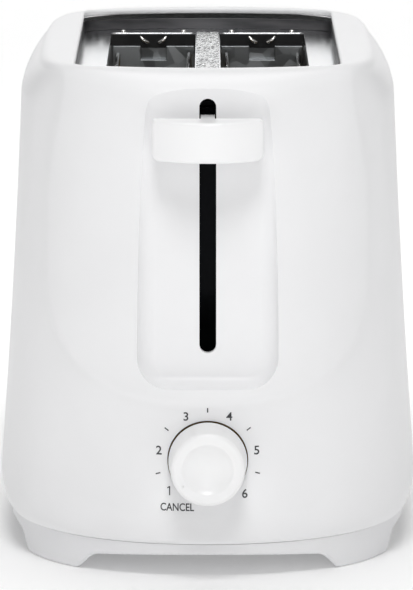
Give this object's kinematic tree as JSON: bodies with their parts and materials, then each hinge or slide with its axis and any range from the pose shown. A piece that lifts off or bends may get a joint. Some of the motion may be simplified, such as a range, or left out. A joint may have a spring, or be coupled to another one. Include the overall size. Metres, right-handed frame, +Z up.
{
  "type": "pop up toaster",
  "caption": "White long-bodied pop-up toaster with round ends, extra-wide bread slots in a sunken steel top, a lever in a front channel and a browning dial.",
  "frame": {"origin": "middle of the whole footprint, on the surface the toaster stands on", "axes": "+Z up, -Y out of the end with the lever and the dial, +X to the right of someone facing that end"},
  "size_m": [0.1704, 0.283, 0.1995],
  "materials": {
    "white_shell": "glossy moulded white",
    "white_base": "satin moulded white",
    "tray_steel": "galvanised",
    "white_trim": "glossy moulded white",
    "white_gland": "satin moulded white",
    "chassis_steel": "galvanised",
    "reflector_steel": "bright",
    "top_steel": "bright rolled",
    "liner_steel": "dull grey",
    "rivet_steel": "bright",
    "black_steel": "black heat-proof coat",
    "mica": "laminated mica sheet",
    "heater_ribbon": "oxidised nichrome",
    "guard_wire": "bright plated wire",
    "white_nylon": "natural nylon",
    "armature_steel": "zinc plated",
    "white_knob": "glossy moulded white",
    "rod_steel": "ground and plated",
    "spring_steel": "drawn wire",
    "coil_wire": "varnished winding",
    "black_plastic": "moulded phenolic",
    "contact_brass": "rolled strip",
    "board_laminate": "paper laminate",
    "relay_plastic": "moulded case",
    "capacitor_can": "sleeved can",
    "white_dial": "glossy moulded white",
    "screw_steel": "zinc plated"
  },
  "bodies": {
    "chassis": {"outer_shell": "white_shell", "base_tray": "white_base", "cord_gland": "white_gland", "front_end_plate": "chassis_steel", "rear_end_plate": "chassis_steel", "left_reflector": "reflector_steel", "right_reflector": "reflector_steel", "chamber_rails": "chassis_steel", "top_plate": "top_steel", "slot_liner": "liner_steel", "slot_rivets": "rivet_steel", "guard_stays": "black_steel", "centre_mica_board": "mica", "left_mica_board": "mica", "right_mica_board": "mica", "centre_element": "heater_ribbon", "left_element": "heater_ribbon", "right_element": "heater_ribbon", "guide_rod": "rod_steel", "top_bracket": "chassis_steel", "lift_spring": "spring_steel", "magnet_core": "armature_steel", "magnet_coil": "coil_wire", "magnet_bracket": "chassis_steel", "contact_block": "black_plastic", "contact_blades": "contact_brass", "circuit_board": "board_laminate", "board_relay": "relay_plastic", "board_capacitor": "capacitor_can", "board_connector": "white_nylon", "browning_control": "black_plastic", "base_screws": "screw_steel"},
    "carriage": {"carriage_plate": "chassis_steel", "carriage_bush": "white_nylon", "armature_plate": "armature_steel", "spring_lug": "chassis_steel", "lever_stem": "chassis_steel", "lever_knob": "white_knob", "left_bread_lifter": "chassis_steel", "right_bread_lifter": "chassis_steel"},
    "right_inner_leaf": {"right_inner_guard": "guard_wire"},
    "right_outer_leaf": {"right_outer_guard": "guard_wire"},
    "left_inner_leaf": {"left_inner_guard": "guard_wire"},
    "left_outer_leaf": {"left_outer_guard": "guard_wire"},
    "dial": {"browning_dial": "white_dial", "dial_shaft": "rod_steel"},
    "crumb_drawer": {"crumb_tray": "tray_steel", "crumb_tray_handle": "white_trim"}
  },
  "joints": [
    {"name": "lever_slide", "type": "slide", "parent": "chassis", "child": "carriage", "axis": [0, 0, -1], "range_m": [0, 0.078], "stiffness_N_per_m": 60, "springref_m": -0.06, "deforming": ["lift_spring"]},
    {"name": "dial_turn", "type": "hinge", "parent": "chassis", "child": "dial", "pos_m": [0, -0.1325, 0.0478], "axis": [0, 1, 0], "range_deg": [-24, 260]},
    {"name": "crumb_tray_slide", "type": "slide", "parent": "chassis", "child": "crumb_drawer", "axis": [0, 1, 0], "range_m": [0, 0.18]},
    {"name": "right_inner_lean", "type": "hinge", "parent": "chassis", "child": "right_inner_leaf", "pos_m": [0.008, 0.0155, 0.03], "axis": [0, 1, 0], "range_deg": [0, 3.2]},
    {"name": "right_outer_lean", "type": "hinge", "parent": "chassis", "child": "right_outer_leaf", "pos_m": [0.0385, 0.0155, 0.03], "axis": [0, -1, 0], "range_deg": [0, 3.2]},
    {"name": "left_inner_lean", "type": "hinge", "parent": "chassis", "child": "left_inner_leaf", "pos_m": [-0.008, 0.0155, 0.03], "axis": [0, -1, 0], "range_deg": [0, 3.2]},
    {"name": "left_outer_lean", "type": "hinge", "parent": "chassis", "child": "left_outer_leaf", "pos_m": [-0.0385, 0.0155, 0.03], "axis": [0, 1, 0], "range_deg": [0, 3.2]}
  ],
  "couplings": [
    {"joint": "right_inner_lean", "follows": "lever_slide", "rad_per_m": 0.67128},
    {"joint": "right_outer_lean", "follows": "lever_slide", "rad_per_m": 0.67128},
    {"joint": "left_inner_lean", "follows": "lever_slide", "rad_per_m": 0.67128},
    {"joint": "left_outer_lean", "follows": "lever_slide", "rad_per_m": 0.67128}
  ]
}
